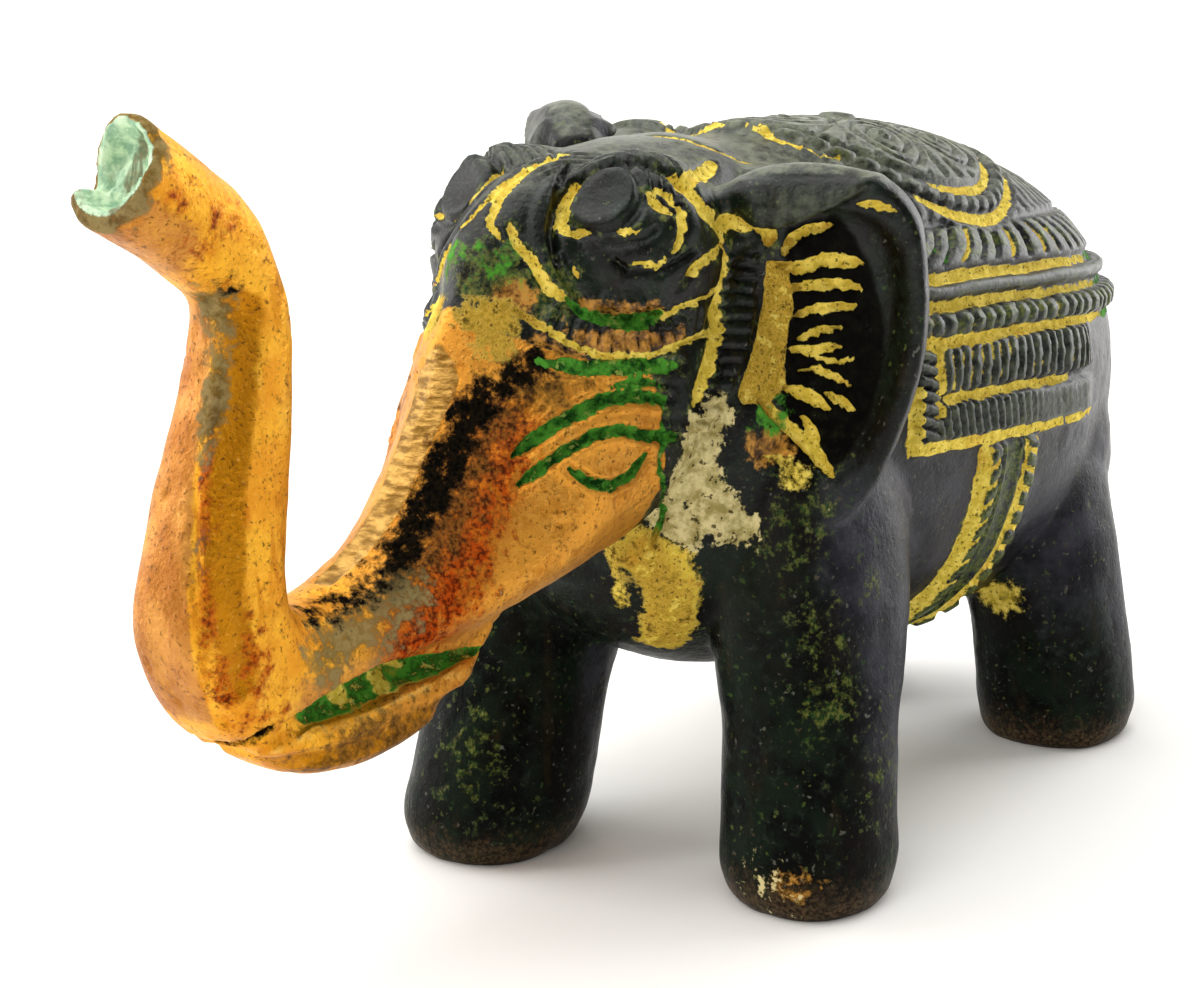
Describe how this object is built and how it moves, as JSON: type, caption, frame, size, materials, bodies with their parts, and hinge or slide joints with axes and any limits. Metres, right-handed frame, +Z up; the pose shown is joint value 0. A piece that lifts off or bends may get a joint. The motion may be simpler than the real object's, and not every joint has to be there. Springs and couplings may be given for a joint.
{
  "type": "elephant figurine",
  "caption": "Solid cast brass elephant with a raised trunk, carved saddle cloth, headdress and ribbed ears, standing on four flat feet as a shelf ornament.",
  "frame": {"origin": "on the ground, in the middle of the figure's length and width", "axes": "+Z up, -X the way the elephant faces, -Y its left side"},
  "size_m": [0.1058, 0.0386, 0.0572],
  "materials": {
    "elephant": "cast and chased brass under a dark green-black patina, with yellow in the carved lines and bare metal on face and trunk"
  },
  "bodies": {
    "root": {"elephant": "elephant"}
  },
  "joints": []
}
